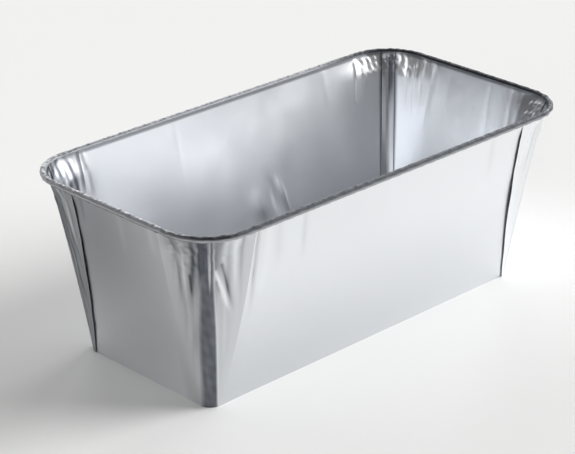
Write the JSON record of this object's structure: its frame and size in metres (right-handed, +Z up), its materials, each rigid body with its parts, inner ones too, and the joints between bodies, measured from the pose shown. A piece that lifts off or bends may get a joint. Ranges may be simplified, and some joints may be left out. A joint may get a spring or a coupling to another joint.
{
  "type": "foil loaf pan",
  "caption": "Deep rectangular disposable loaf pan folded from thin aluminium foil, with leaning flat walls, pleated corners and an outward-rolled rim.",
  "frame": {"origin": "on the floor under the middle of the base panel", "axes": "+X along the pan towards the right end wall, +Y towards the back wall, +Z up out of the mouth"},
  "size_m": [0.2428, 0.1248, 0.092],
  "materials": {
    "foil_sheet": "satin rolled foil",
    "foil_folded": "creased foil",
    "foil_rim": "rolled bright foil"
  },
  "bodies": {
    "root": {"base_panel": "foil_sheet", "front_wall": "foil_sheet", "back_wall": "foil_sheet", "left_end_wall": "foil_sheet", "right_end_wall": "foil_sheet", "front_left_gusset": "foil_folded", "front_left_end_pleat": "foil_folded", "front_left_side_pleat": "foil_folded", "front_right_gusset": "foil_folded", "front_right_end_pleat": "foil_folded", "front_right_side_pleat": "foil_folded", "back_right_gusset": "foil_folded", "back_right_end_pleat": "foil_folded", "back_right_side_pleat": "foil_folded", "back_left_gusset": "foil_folded", "back_left_end_pleat": "foil_folded", "back_left_side_pleat": "foil_folded", "rolled_rim": "foil_rim"}
  },
  "joints": []
}
